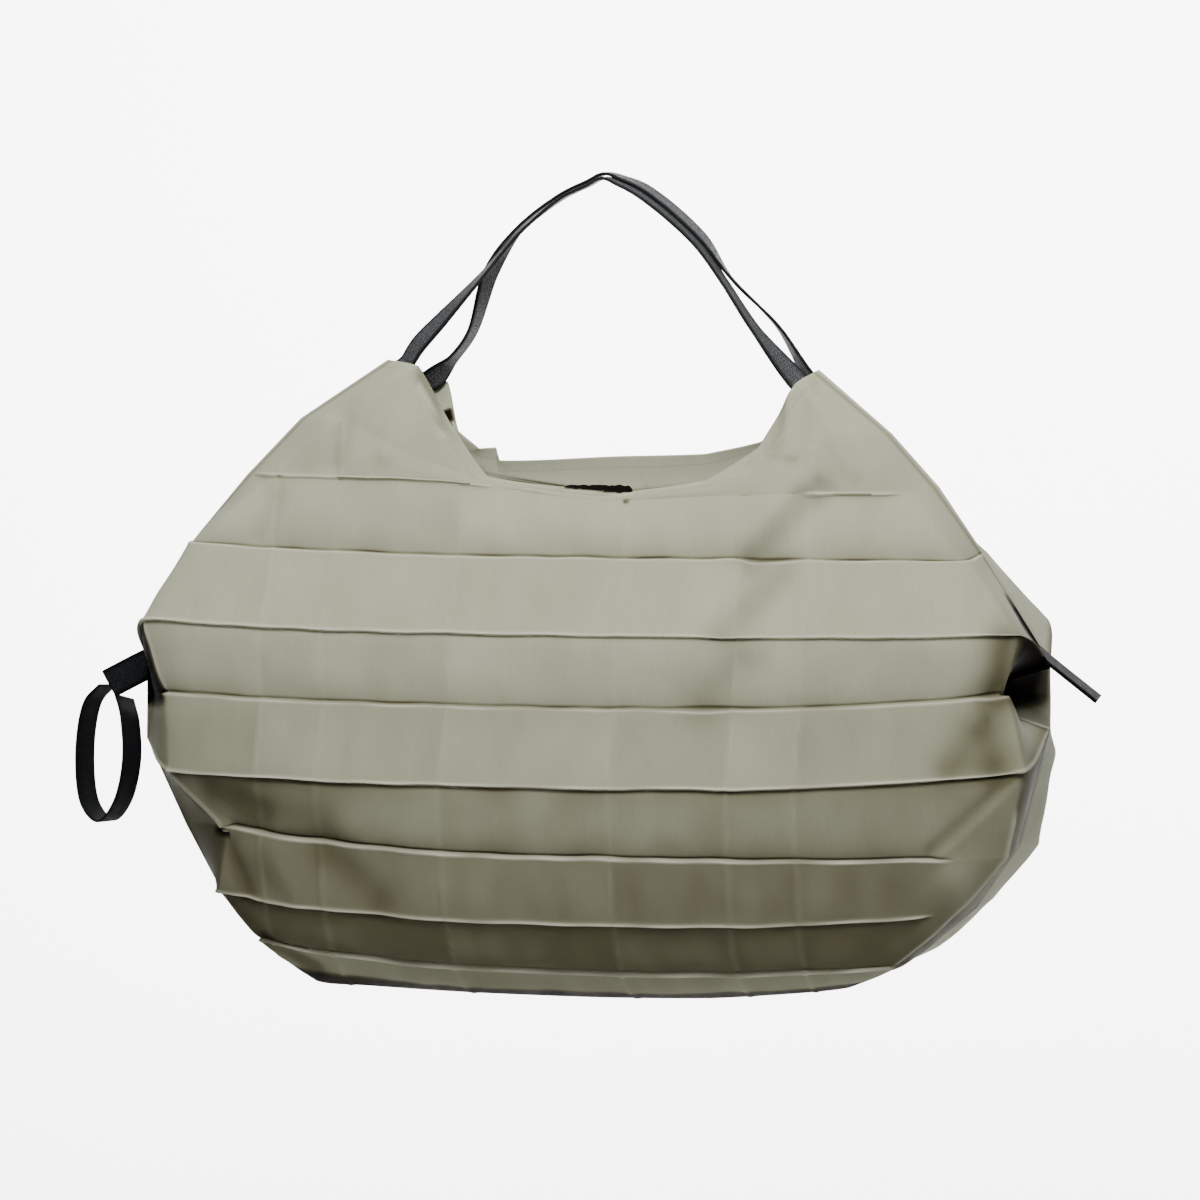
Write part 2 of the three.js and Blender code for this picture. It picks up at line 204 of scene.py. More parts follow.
# Corners that stand out as an edge, with a painted highlight along them: the levels from and to which
# they do, how light the highlight is and how high the edge stands.
CornerLine = namedtuple("CornerLine", "name end top bottom mark rise")
CORNER_LINES = [
    CornerLine("left edge", "left", 4.0, 5.0, 0.9, 0.6),
    CornerLine("left ridge", "left", 6.0, 7.0, 0.9, 2.6),
    CornerLine("lower right edge", "right", 6.5, 9.0, 0.8, 0.9),
]
CORNER_SOFT = 0.1
CORNER_REACH = 2.2
# A painted highlight line along an end seam, and painted shade beside it.
SEAM_LINE = {"width": 1.4, "mark": 0.8}
SEAM_SHADE = {"at": 3.6, "width": 1.6, "dark": 0.5}
# Painted shadow on the inside behind the open right seam: the places and levels at which it begins and
# ends.
OPEN_SEAM = {"places": (0.9, 1.6), "top": (2.6, 3.2), "bottom": (5.6, 6.2), "dark": 1.8}

# Pressed creases that run down the pleats, by their x, each with a faint painted highlight. Wrinkles run
# from one point to another: a soft one is rounded, a sharp one has a crest. shade: painted shade over the
# wrinkle; below 0 it is painted light, and over 1 it turns to painted black shadow.
PRESSED = (-192, -154, -79, 20, 88, 127)
PRESSED_WIDTH = 2.6
PRESSED_RISE = 0.6
PRESSED_HIGHLIGHT = 0.06
PRESSED_SIGNS = (-0.6, 1)
Wrinkle = namedtuple("Wrinkle", "name form start end width rise shade")
FRONT_WRINKLES = [
    Wrinkle("drag below the right rim", "soft", (130, -178), (95, -219), 8, -3.4, 0.32),
    Wrinkle("ridge beside that drag", "soft", (118, -176), (82, -214), 8, 1.6, 0),
    Wrinkle("drag in the next pleat", "soft", (112, -226), (80, -259), 9, -2.8, 0.26),
    Wrinkle("dent in the third pleat", "soft", (92, -276), (70, -300), 13, -2.6, 0.25),
    Wrinkle("dimple on the left shoulder", "soft", (-152, -136), (-157, -166), 7, -2.4, 0.12),
    Wrinkle("dimple at the left end", "soft", (-198, -188), (-203, -206), 8, -2.6, 0.15),
    Wrinkle("gather at the left peak", "soft", (-121, -116), (-126, -160), 6, 1.8, 0),
    Wrinkle("gather at the right peak", "soft", (112, -124), (114, -158), 4, 2.6, -0.06),
    Wrinkle("hollow beside that gather", "soft", (107, -126), (103, -160), 3.5, -2.0, 0.24),
    Wrinkle("fold at the right peak", "soft", (121, -118), (150, -168), 5, 1.5, 0),
    Wrinkle("crease at the right end", "sharp", (243, -297), (252, -334), 4.5, 4.5, 0),
    Wrinkle("hollow beside that crease", "soft", (235, -314), (240, -331), 10, -3.4, 0.34),
    Wrinkle("left side of that hollow", "soft", (226, -313), (214, -333), 9, -1.0, 0.2),
    Wrinkle("foot of that hollow", "soft", (212, -333), (240, -333), 9, -1.0, 0.18),
    Wrinkle("turn into the right hollow", "soft", (244, -263), (239, -291), 12, -3.0, 0.75),
    Wrinkle("pinch where that fold ends", "sharp", (226, -297), (232, -304), 3, 2.0, 0.1),
    Wrinkle("crease under the right end", "sharp", (207, -385), (251, -343), 3.5, 1.8, -0.12),
    Wrinkle("dark side of that crease", "soft", (203, -381), (247, -339), 4, -1.2, 0.2),
    Wrinkle("light low at the right end", "soft", (216, -396), (222, -410), 14, 1.2, -0.22),
    Wrinkle("knot at the end of the left ridge", "sharp", (-222, -379), (-215, -378), 2.6, 3.6, 0),
    Wrinkle("gap under the knot", "soft", (-224, -382.5), (-217, -383), 1.9, -3.0, 1.5),
    Wrinkle("shadow under the left end", "soft", (-221, -357), (-190, -368), 9, -2.0, 0.4),
    Wrinkle("spread of that shadow", "soft", (-200, -357), (-150, -371), 13, -1.5, 0.2),
    Wrinkle("band below the knot", "soft", (-217, -389), (-204, -418), 7, -2.4, 0.2),
    Wrinkle("shadow along the left foot", "soft", (-217, -425), (-197, -448), 6, -1.0, 0.35),
    Wrinkle("shadow under the left foot", "soft", (-197, -448), (-170, -466), 6, -1.0, 0.35),
    Wrinkle("dent low on the left", "soft", (-150, -392), (-120, -418), 12, -2.6, 0.2),
    Wrinkle("lift low on the left", "soft", (-186, -390), (-170, -418), 9, 2.0, 0),
]
BACK_WRINKLES = [
    Wrinkle("drag below the left rim", "soft", (-128, -176), (-92, -222), 10, -2.6, 0.15),
    Wrinkle("drag below the right rim", "soft", (122, -172), (150, -212), 9, -2.2, 0.15),
    Wrinkle("dent in the middle", "soft", (-40, -272), (-20, -300), 14, -2.2, 0.2),
    Wrinkle("crease at the right end", "sharp", (236, -312), (256, -340), 6, 3.0, 0),
    Wrinkle("crease at the left end", "sharp", (-250, -348), (-222, -382), 4, 2.6, 0),
    Wrinkle("dent low on the right", "soft", (120, -360), (96, -384), 12, -2.0, 0.2),
]
# The ragged slit that stands over the middle of the front rim, painted black as a shadowed gap with a
# painted highlight line under it, and a dark speck below it.
SLIT = {"left": -19.5, "right": 22, "height": 4.4, "ragged": 0.25, "tooth": 3.0, "layer": 5}
SLIT_SHARES = (0, 0.08, 0.5, 0.85, 0.95, 1)
SLIT_HEIGHTS = (0, 0.4, 0.75, 1, 0.7, 0)
SLIT_LEAST = 0.3
SLIT_EDGE = (0.1, 0.7)
SLIT_LINE = {"at": 1.4, "width": 0.8, "mark": 0.6}
SPECK = {"at": (18, -186.5), "size": 1.4, "dark": 1.6}
# Where the hem of the front rim is turned back beside the left handle, painted shade reaches up to a
# painted highlight at its edge. Behind it, a black spot painted on the inside of the back panel stands for
# the shadow in a gap.
TURNED_HEM = {
    "left": -109, "left_fade": (-2, 2), "right": -90, "right_fade": (-8, 6),
    "height": 11.0, "edge": (-1.5, 0.5), "line_at": 2.0, "line_width": 2.0, "dark": 0.6,
}
GAP_SHADOW = {"at": (-98, -141), "half_width": 3.2, "half_height": 6.0, "edge": (0.8, 1.1)}
# The back rim stands up in a nub beside the left peak.
NUB = {"left": -79.6, "right": -69.3, "right_fade": (-0.6, 1.6), "height": 7.6}

# Handles, tabs and band: where each strap passes, and the way its outer face looks there.
Station = namedtuple("Station", "name at face")
FRONT_HANDLE = [
    Station("above the left peak", (-110, -8, -97), (-0.6, -0.72, 0.36)),
    Station("left rise", (-96, -11, -82.6), (-0.62, -0.62, 0.48)),
    Station("left middle", (-71.5, -9, -56), (-0.7, -0.3, 0.65)),
    Station("left meeting", (-50, -6, -31.5), (-0.6, -0.15, 0.78)),
    Station("left crown", (-25, -4, -11), (-0.5, 0, 0.86)),
    Station("left of the kink", (-9, -4, -3.2), (-0.42, 0, 0.9)),
    Station("hanging point", (0, -4, 1), (0, 0, 1)),
    Station("right of the kink", (10, -4, -2.2), (0.35, -0.12, 0.93)),
    Station("right crown", (23, -4, -8.8), (0.5, -0.2, 0.84)),
    Station("right meeting", (54.2, -4, -35), (0.68, -0.2, 0.7)),
    Station("right middle", (71.5, -6, -58.3), (0.8, -0.1, 0.6)),
    Station("right rise", (91.5, -11, -87), (0.8, -0.2, 0.56)),
]
BACK_HANDLE = [
    Station("above the back peak", (-93, 15.5, -105), (-0.86, 0.2, 0.47)),
    Station("left rise", (-82, 14, -90), (-0.86, 0.2, 0.47)),
    Station("left middle", (-69.5, 10, -54), (-0.7, 0.4, 0.58)),
    Station("left meeting", (-52, 6, -29), (-0.6, 0.1, 0.8)),
    Station("left crown", (-26.4, 4, -8.7), (-0.5, 0, 0.86)),
    Station("left of the kink", (-10.2, 4, -0.8), (-0.42, 0, 0.9)),
    Station("hanging point", (0, 4, 3.7), (0, 0, 1)),
    Station("right of the kink", (11, 4, 0.7), (0.35, -0.12, 0.93)),
    Station("right crown", (24.7, 4, -5.4), (0.5, -0.2, 0.84)),
    Station("right meeting", (56.9, 4, -32.6), (0.68, -0.2, 0.7)),
    Station("right middle", (74.2, 6, -57.1), (0.8, 0.1, 0.6)),
    Station("right rise", (101, 13, -85.6), (0.8, 0.2, 0.56)),
]
LEFT_TAB = [
    Station("inside the seam", (-262, 0, -282), (0, -1, 0)),
    Station("at the seam", (-279, 0, -290), (0, -1, 0)),
    Station("tip", (-302, -1, -302), (0.2, -1, 0)),
]
RIGHT_TAB = [
    Station("inside the seam", (252, -0.35, -269.5), (0.61, -0.12, 0.78)),
    Station("at the seam", (266.5, -0.35, -281), (0.61, -0.12, 0.78)),
    Station("tip", (291.5, -0.35, -300.5), (0.61, -0.12, 0.78)),
]
PULL_LOOP = [
    Station("near end at the tab", (-303.2, -1, -302.75), (-0.36, 0.3, 0.68)),
    Station("near shoulder", (-314, 5, -314), (-0.6, 0.5, 0.6)),
    Station("near side", (-320, 8, -345), (-0.77, 0.64, 0)),
    Station("near foot", (-316, 4, -375), (-0.6, 0.5, -0.6)),
    Station("low point", (-303, -7, -384), (0, 0, -1)),
    Station("far foot", (-290, -17, -371), (0.6, -0.5, -0.6)),
    Station("far side", (-283, -21, -346), (0.77, -0.64, 0)),
    Station("far shoulder", (-286, -13, -322), (0.7, -0.58, 0.2)),
    Station("far end at the tab", (-292.6, -1, -309.9), (0.68, -0.56, 0.36)),
]
# Where a handle is sewn to its panel: the rim stations it lies between, how far inside the cloth it is,
# how far it leans along the rim for each millimetre down, and how far down the shoulder it is sewn.
Seat = namedtuple("Seat", "near far clear lean sewn")
FRONT_SEATS = (Seat(0, 0.85, 1.1, -0.25, 0.18), Seat(7, 7.5, 0.75, 0, 0.18))
BACK_SEATS = (Seat(0.5, 0.96, 0.9, 0.1, 0.18), Seat(7, 8, 0.55, 0, 0.18))
# How finely a strap is divided: along each span, across a face and round an edge.
STRAP_STEPS = 14
FACE_STEPS = 9
EDGE_STEPS = 6

# Colours as they look on a screen, from 0 to 255.
# In the cloth, the shade colour is painted shade, the black one painted black shadow in gaps and hollows,
# and the light mark colour a painted highlight along folds, corners and seams.
NYLON = {
    "dull": (174, 176, 152), "bright": (187, 189, 168), "streak": (160, 160, 134), "slub": (146, 146, 121),
    "shade": (93, 90, 69), "mark": (220, 218, 197), "stitch": (120, 117, 98), "black": (18, 13, 10),
}
# The cloth's patches, streaks and thick threads: how many to a metre, along and down the cloth.
PATCHES = 9.0
STREAKS = (60.0, 9.0)
SLUBS = (420.0, 60.0)
# How strongly the streaks, thick threads, painted highlight lines and stitches show.
STREAK_SHOWS = 0.3
SLUB_SHOWS = 0.3
HIGHLIGHT_SHOWS = 0.7
STITCH_SHOWS = 0.35
# The cloth's threads, and the hem's stitches: how far below the rim, how wide, how long with the gap to
# the next one, and the sine at which one ends.
THREAD = 0.7
STITCH = {"below": 6.8, "half_width": 0.35, "length": 2.8, "gap": -0.35}
# Webbing: rib is the length of one rib, and gloss its shine.
Webbing = namedtuple("Webbing", "name width dark light rib gloss")
WEBBINGS = [
    Webbing("handle_webbing", HANDLE["width"], (12, 13, 15), (112, 114, 117), 1.2, 0.25),
    Webbing("tab_webbing", TAB["width"], (4, 5, 7), (42, 44, 47), 1.2, 0.06),
    Webbing("elastic_band", BAND["width"], (2, 3, 5), (18, 19, 23), 0.9, 0.12),
]
# How far in from each edge a webbing turns darker, how softly, and how strongly.
EDGE_DARKENING = {"width": 3.2, "soft": 1.5, "shows": 0.7}
FIBRES = (900.0, 900.0)
WORN_SPOTS = 40.0
NOISE_DETAIL = 2.0
# Bump of the weaves: how high in metres, and how strong.
CLOTH_BUMP = (0.00008, 0.35)
WEBBING_BUMP = (0.00025, 0.7)

# Lights: where they stand, where they aim, their width in metres, their power and how wide they spread.
Light = namedtuple("Light", "name at aim width power spread")
BAG_MIDDLE = (0, 0, -0.28)
LIGHTS = [
    Light("key", (0.2, -1.5, 1.05), BAG_MIDDLE, 0.8, 18, 100),
    Light("top", (0, 0.5, 1.6), BAG_MIDDLE, 1.0, 6, 100),
    Light("backdrop left", (-2.0, 1.4, 0.9), (-0.6, 4.1, 0.0), 1.6, 300, 120),
    Light("backdrop right", (2.0, 1.4, 0.9), (0.6, 4.1, 0.0), 1.6, 300, 120),
]
ROOM = {"Color": (1, 0.985, 0.95, 1), "Strength": 0.055}
# The floor in metres: its height, half its width, where it begins and bends, and how high it sweeps up.
FLOOR = {"height": -1.3, "half": 7.0, "near": -6.0, "far": 2.6, "radius": 1.5, "top": 4.0, "steps": 16}

# Camera: where it looks, from what side and how far, and the width of view there.
CAMERA_TARGET = Vector((-0.0026, 0, -0.247))
CAMERA_AZIMUTH = math.radians(10)
CAMERA_ELEVATION = math.radians(5)
CAMERA_DISTANCE = 3.0
VIEW_WIDTH = 0.708
SENSOR = 36.0


# Curves and grids

def curve(stations, places, tautness=0.0):
    """Points on a line through the stations, at places counted in stations: smooth, or drawn straight."""
    known = np.asarray(stations, float)
    line = np.vstack([2 * known[0] - known[1], known, 2 * known[-1] - known[-2]])
    places = np.asarray(places, float)
    first = np.clip(places.astype(int), 0, len(known) - 2)
    part = (places - first)[:, None]
    p0, p1, p2, p3 = (line[first + i] for i in range(4))

    def step(a, b):
        return np.sqrt(np.maximum(np.linalg.norm(b - a, axis=1, keepdims=True), TINY))

    d0, d1, d2 = step(p0, p1), step(p1, p2), step(p2, p3)
    leave = d1 * ((p1 - p0) / d0 - (p2 - p0) / (d0 + d1) + (p2 - p1) / d1)
    reach = d1 * ((p2 - p1) / d1 - (p3 - p1) / (d1 + d2) + (p3 - p2) / d2)
    bend = 3 * (p2 - p1) - 2 * leave - reach
    smooth = p1 + part * leave + part**2 * bend + part**3 * (2 * (p1 - p2) + leave + reach)
    return smooth + tautness * (p1 + part * (p2 - p1) - smooth)


def fold_stations(fold, side):
    """The nine stations of one fold line, from the left seam to the right seam."""
    depth, height = fold.mid
    power = HEIGHT_POWERS.get(fold.name, HEIGHT_POWER)
    right = fold.right_corner if side == FRONT else fold.back_corner

    def between(corner, share):
        return (
            corner[0] * share,
            depth + (corner[1] - depth) * share**DEPTH_POWER,
            height + (corner[2] - height) * share**power,
        )

    left_in = [between(fold.left_corner, share) for share in INNER_SHARES]
    right_in = [between(right, share) for share in reversed(INNER_SHARES)]
    left_seam = (fold.left_seam[0], 0, fold.left_seam[1])
    right_seam = (fold.right_seam[0], 0, fold.right_seam[1])
    return [left_seam, fold.left_corner, *left_in, (0, depth, height), *right_in, right, right_seam]


def column_places():
    """Where the columns of a panel stand, counted in stations."""
    spans = SPAN_COLUMNS + SPAN_COLUMNS[::-1]
    places = [k + i / count for k, count in enumerate(spans) for i in range(count)]
    return np.array(places + [len(spans)])


def grid_normals(grid):
    """The way out of the cloth at each point of a grid whose depth is positive."""
    along = np.gradient(grid, axis=1)
    down = np.gradient(grid, axis=0)
    out = np.cross(along, down)
    return out / np.maximum(np.linalg.norm(out, axis=2, keepdims=True), TINY)


def smooth_noise(points, scale, layer):
    """Gentle noise from -1 to 1 over flat points, a different one for each layer."""
    flat = points.reshape(-1, 2) / scale
    values = [noise.noise(Vector((x, z, layer * LAYER_STEP))) for x, z in flat]
    return np.array(values).reshape(points.shape[:-1])


def bell(distance, reach):
    """1 at no distance, falling off on both sides."""
    return np.exp(-((distance / reach) ** 2))


def ramp(value, start, end):
    """From 0 at start to 1 at end, eased."""
    share = np.clip((value - start) / (end - start), 0, 1)
    return share * share * (3 - 2 * share)


def ramp_at(value, place, fade):
    """From 0 to 1 round a place, eased, with the fade counted from it."""
    return ramp(value, place + fade[0], place + fade[1])


# The cloth panels

def fold_edge(fold, distance, over):
    """Rise, painted highlight and shade at distances from a fold, on the strip over it or the one under
    it.
    """
    none = np.zeros_like(distance)
    edge = bell(distance, EDGE)
    if fold.kind == "ridge" and over:
        return LIP * bell(distance, LIP_REACH), bell(distance, LINE), none
    if fold.kind == "ridge":
        rise = LIP * edge - TUCK * (1 - edge) * np.exp(-distance / TUCK_REACH)
        shade = fold.dark * (np.exp(-distance / SHADOW_REACH) + bell(distance - TUCK_LINE_AT, LINE))
        return rise, bell(distance, FINE_LINE), shade
    if fold.kind == "groove" and over:
        rise = -GROOVE * edge - CURL * (1 - edge) * np.exp(-distance / CURL_REACH)
        line = GROOVE_LINE["dark"] * bell(distance - GROOVE_LINE["at"], THIN_LINE)
        return rise, none, fold.dark * (np.exp(-distance / SHADOW_REACH) + line)
    if fold.kind == "groove":
        rise = -GROOVE * edge + BEAD * (1 - edge) * bell(distance, BEAD_REACH)
        return rise, BEAD_LINE["mark"] * bell(distance - BEAD_LINE["at"], THIN_LINE), none
    return none, none, none


def pressed_share(x, start, end):
    """From 0 to 1 and back again, eased, round a start and an end."""
    begin = ramp_at(x, start, (-FADE_BEYOND, FADE_WITHIN))
    return begin * (1 - ramp_at(x, end, (-FADE_WITHIN, FADE_BEYOND)))


def fold_strength(fold, x, side):
    """How sharply a fold is pressed along its length."""
    start, end = fold.pressed
    strength = pressed_share(x, start, end if side == FRONT else end - BACK_FADE)
    if fold.name == "peak_1" and side == FRONT:
        strength = strength * (1 - pressed_share(x, *RIM_BREAK))
    return strength


def wrinkle_share(points, wrinkle):
    """How strong one wrinkle is at flat points, from 0 to 1."""
    start = np.array(wrinkle.start, float)
    run = np.array(wrinkle.end, float) - start
    length = np.linalg.norm(run)
    ahead = run / length
    offset = points - start
    along = offset @ ahead
    beyond = np.maximum(np.maximum(-along, along - length), 0)
    across = offset @ np.array((-ahead[1], ahead[0]))
    if wrinkle.form == "sharp":
        profile = np.exp(-abs(across) / wrinkle.width)
    else:
        profile = bell(across, wrinkle.width)
    return profile * bell(beyond, wrinkle.width)


def slit_height(x):
    """How high the ragged slit stands over the front rim."""
    share = (x - SLIT["left"]) / (SLIT["right"] - SLIT["left"])
    body = np.interp(share, SLIT_SHARES, SLIT_HEIGHTS)
    teeth = [noise.noise(Vector((v / SLIT["tooth"], 0, SLIT["layer"]))) for v in x.ravel()]
    return SLIT["height"] * body * (1 + SLIT["ragged"] * np.array(teeth).reshape(x.shape))


def nub_height(x):
    """How high the nub stands over the back rim."""
    share = np.clip((x - NUB["left"]) / (NUB["right"] - NUB["left"]), 0, 1)
    return NUB["height"] * share * (1 - ramp_at(x, NUB["right"], NUB["right_fade"]))


def facet_tone(x, k):
    """A tone from -1 to 1 that steps at the pressed creases, with its own slope between two of them."""
    edges = np.array((FACET_ENDS[0], *PRESSED, FACET_ENDS[1]), float)
    chance = np.random.default_rng(FACET_SEED + k)
    start = chance.uniform(-1, 1, len(edges) - 1)
    stop = chance.uniform(-1, 1, len(edges) - 1)
    facet = np.clip(np.searchsorted(edges, x) - 1, 0, len(edges) - 2)
    share = (x - edges[facet]) / (edges[facet + 1] - edges[facet])
    return start[facet] + (stop[facet] - start[facet]) * share


def panel_lines(rim, side, places):
    """The rim and the fold lines of a panel, point by point at the columns' places."""
    line = curve(list(rim.values()), places, RIM_TAUTNESS)
    if side == FRONT:
        line[:, 2] += slit_height(line[:, 0])
    else:
        line[:, 2] += nub_height(line[:, 0])
    lines = [line]
    for k, fold in enumerate(FOLDS):
        line = curve(fold_stations(fold, side), places, FOLD_TAUTNESS)
        if fold.kind != "plain":
            flat = np.stack([line[:, 0], np.full(len(line), WANDER["spacing"] * k)], axis=1)
            wander = smooth_noise(flat, WANDER["scale"], k + WANDER["layer"])
            line[:, 2] += WANDER["rise"] * np.sin(np.pi * places / places[-1]) * wander
        lines.append(line)
    return lines


def strip_shares(k):
    """The rows of the strip above fold k, as shares of its height."""
    if k == 0:
        return SHOULDER_ROWS
    return PLEAT_ROWS + (1.0,) if k == len(FOLDS) - 1 else PLEAT_ROWS


def strip_tone(k, lines, shares, side):
    """Painted shade on the strip above fold k. Beside a fold that isn't pressed it runs into the next
    strip.
    """
    own = PLEAT_SHADE[k]
    tone = np.full((len(shares), len(lines[k])), own)
    below = (k, k + 1, ramp(shares, *BLEND_BELOW))
    above = (k - 1, k - 1, 1 - ramp(shares, *BLEND_ABOVE))
    for fold, strip, reach in (below, above):
        if 0 <= fold < len(FOLDS) - 1:
            loose = 1 - fold_strength(FOLDS[fold], lines[fold + 1][:, 0], side)
            tone += reach * loose * (PLEAT_SHADE[strip] - own) / 2
    return tone * (1 if side == FRONT else BACK_SHADE)


Strip = namedtuple("Strip", "points gap rise mark shade level")


def cloth_strip(k, lines, places, wrinkles, side):
    """The strip of cloth above fold k, row by row, with its relief, painted shade and painted highlights.
    """
    upper, lower = lines[k], lines[k + 1]
    fall = lower - upper
    height = np.linalg.norm(fall, axis=1)
    out = np.stack([np.zeros_like(height), -fall[:, 2], fall[:, 1]], axis=1)
    out /= np.maximum(np.linalg.norm(out, axis=1, keepdims=True), TINY)
    shares = np.array(strip_shares(k))[:, None]
    across = places / places[-1]
    room = np.clip(height / FULL_HEIGHT, 0, 1)
    bow = FOLDS[k].swell * room * np.sin(np.pi * across) * np.sin(np.pi * shares)
    points = upper + shares[..., None] * fall + bow[..., None] * out
    flat = points[..., [0, 2]]
    loose = np.sin(np.pi * shares) ** LOOSE_POWER
    uneven = sum(part.rise * smooth_noise(flat, part.scale, k + part.layer) for part in RELIEF)
    rise = room * loose * uneven
    mottle = smooth_noise(flat * MOTTLE["stretch"], MOTTLE["scale"], k + MOTTLE["layer"])
    shade = strip_tone(k, lines, shares, side) + MOTTLE["dark"] * loose * mottle
    shade += FACET_SHADE * loose * facet_tone(flat[..., 0], k)
    mark = np.zeros_like(shade)
    sides = [(FOLDS[k], lower, (1 - shares) * height, True)]
    if k > 0:
        sides.append((FOLDS[k - 1], upper, shares * height, False))
    for fold, line, distance, over in sides:
        strength = room * fold_strength(fold, line[:, 0], side)
        line_noise = smooth_noise(line[:, [0, 2]] * (1, 0), LINE_PATCHES["scale"], k + LINE_PATCHES["layer"])
        patchy = np.clip(LINE_PATCHES["mean"] + LINE_PATCHES["range"] * line_noise, LINE_PATCHES["least"], LINE_PATCHES["most"])
        edge_rise, edge_highlight, edge_shade = fold_edge(fold, distance, over)
        rise += strength * edge_rise
        mark = np.maximum(mark, strength * patchy * edge_highlight)
        shade += strength * patchy * edge_shade
    for x in PRESSED:
        crease = np.maximum(1 - abs(flat[..., 0] - x) / PRESSED_WIDTH, 0)
        rise += PRESSED_SIGNS[k % 2] * PRESSED_RISE * crease
        mark = np.maximum(mark, room * PRESSED_HIGHLIGHT * crease)
    for wrinkle in wrinkles:
        amount = wrinkle_share(flat, wrinkle)
        rise += wrinkle.rise * amount
        shade += wrinkle.shade * amount
    gaps = np.array([CLOSED] + [fold.gaps for fold in FOLDS])
    left, right = (gaps[k] + shares * (gaps[k + 1] - gaps[k])).T[..., None]
    return Strip(points, left + (right - left) * across, rise, mark, shade, k + shares[:, 0])


def end_places(places, end):
    """Places counted from the left or the right seam."""
    return places if end == "left" else places[-1] - places


def add_end_shadows(shade, level, places, tones):
    """Paint shade and black shadow on the faces that turn round the two ends."""
    for tone in tones:
        ends = end_places(places, tone.end)
        edge = level[:, None] - tone.bottom - tone.taper * np.clip(ends, 0, 1)
        soft = (-tone.soft, tone.soft)
        blur = (-tone.blur, tone.blur)
        rows = ramp_at(level, tone.top, soft)[:, None] * (1 - ramp(edge, *soft))
        columns = ramp_at(ends, tone.start, blur) * (1 - ramp_at(ends, tone.stop, blur))
        shade += tone.dark * rows * columns


def add_corner_lines(rise, mark, grid, level):
    """Raise the corners that stand out as an edge, and paint a highlight along them."""
    for line in CORNER_LINES:
        column = SPAN_COLUMNS[0] if line.end == "left" else -1 - SPAN_COLUMNS[0]
        distance = np.linalg.norm(grid - grid[:, [column]], axis=2)
        soft = (-CORNER_SOFT, CORNER_SOFT)
        rows = ramp_at(level, line.top, soft) * (1 - ramp_at(level, line.bottom, soft))
        rise += line.rise * rows[:, None] * np.exp(-distance / CORNER_REACH)
        np.maximum(mark, line.mark * rows[:, None] * bell(distance, LINE), out=mark)


def below_rim(grid):
    """How far each point lies straight below the rim."""
    rim = grid[0]
    return np.interp(grid[..., 0], rim[:, 0], rim[:, 2]) - grid[..., 2]


def add_slit(mark, shade, grid):
    """Paint the front rim's slit black as a shadowed gap, with a painted highlight under it and a speck
    below.
    """
    height = slit_height(grid[..., 0])
    past = below_rim(grid) - height
    there = height > SLIT_LEAST
    line = SLIT_LINE["mark"] * bell(past - SLIT_LINE["at"], SLIT_LINE["width"])
    np.maximum(shade, there * BLACK * (1 - ramp(past, *SLIT_EDGE)), out=shade)
    np.maximum(mark, there * line, out=mark)
    offset = np.hypot(grid[..., 0] - SPECK["at"][0], grid[..., 2] - SPECK["at"][1])
    np.maximum(shade, SPECK["dark"] * bell(offset, SPECK["size"]), out=shade)


def add_turned_hem(mark, shade, grid):
    """Paint shade on the hem turned back beside the left handle, up to a painted highlight at its edge."""
    x = grid[..., 0]
    there = ramp_at(x, TURNED_HEM["left"], TURNED_HEM["left_fade"])
    there = there * (1 - ramp_at(x, TURNED_HEM["right"], TURNED_HEM["right_fade"]))
    past = below_rim(grid) - TURNED_HEM["height"]
    shade += TURNED_HEM["dark"] * there * (1 - ramp(past, *TURNED_HEM["edge"]))
    np.maximum(mark, there * bell(past - TURNED_HEM["line_at"], TURNED_HEM["line_width"]), out=mark)


def inside_shade(grid, level, places, side):
    """Painted shadow behind the open right seam, and a black spot painted as shadow inside the back panel.
    """
    open_end = 1 - ramp(end_places(places, "right"), *OPEN_SEAM["places"])
    open_rows = ramp(level, *OPEN_SEAM["top"]) * (1 - ramp(level, *OPEN_SEAM["bottom"]))
    shade = OPEN_SEAM["dark"] * open_rows[:, None] * open_end
    if side == BACK:
        x = (grid[..., 0] - GAP_SHADOW["at"][0]) / GAP_SHADOW["half_width"]
        z = (grid[..., 2] - GAP_SHADOW["at"][1]) / GAP_SHADOW["half_height"]
        shade += BLACK * (1 - ramp(np.hypot(x, z), *GAP_SHADOW["edge"]))
    return shade


def lengths_down(grid):
    """How far each point lies below the rim, measured down the cloth."""
    down = np.linalg.norm(np.diff(grid, axis=0), axis=2).cumsum(axis=0)
    return np.vstack([np.zeros((1, grid.shape[1])), down])


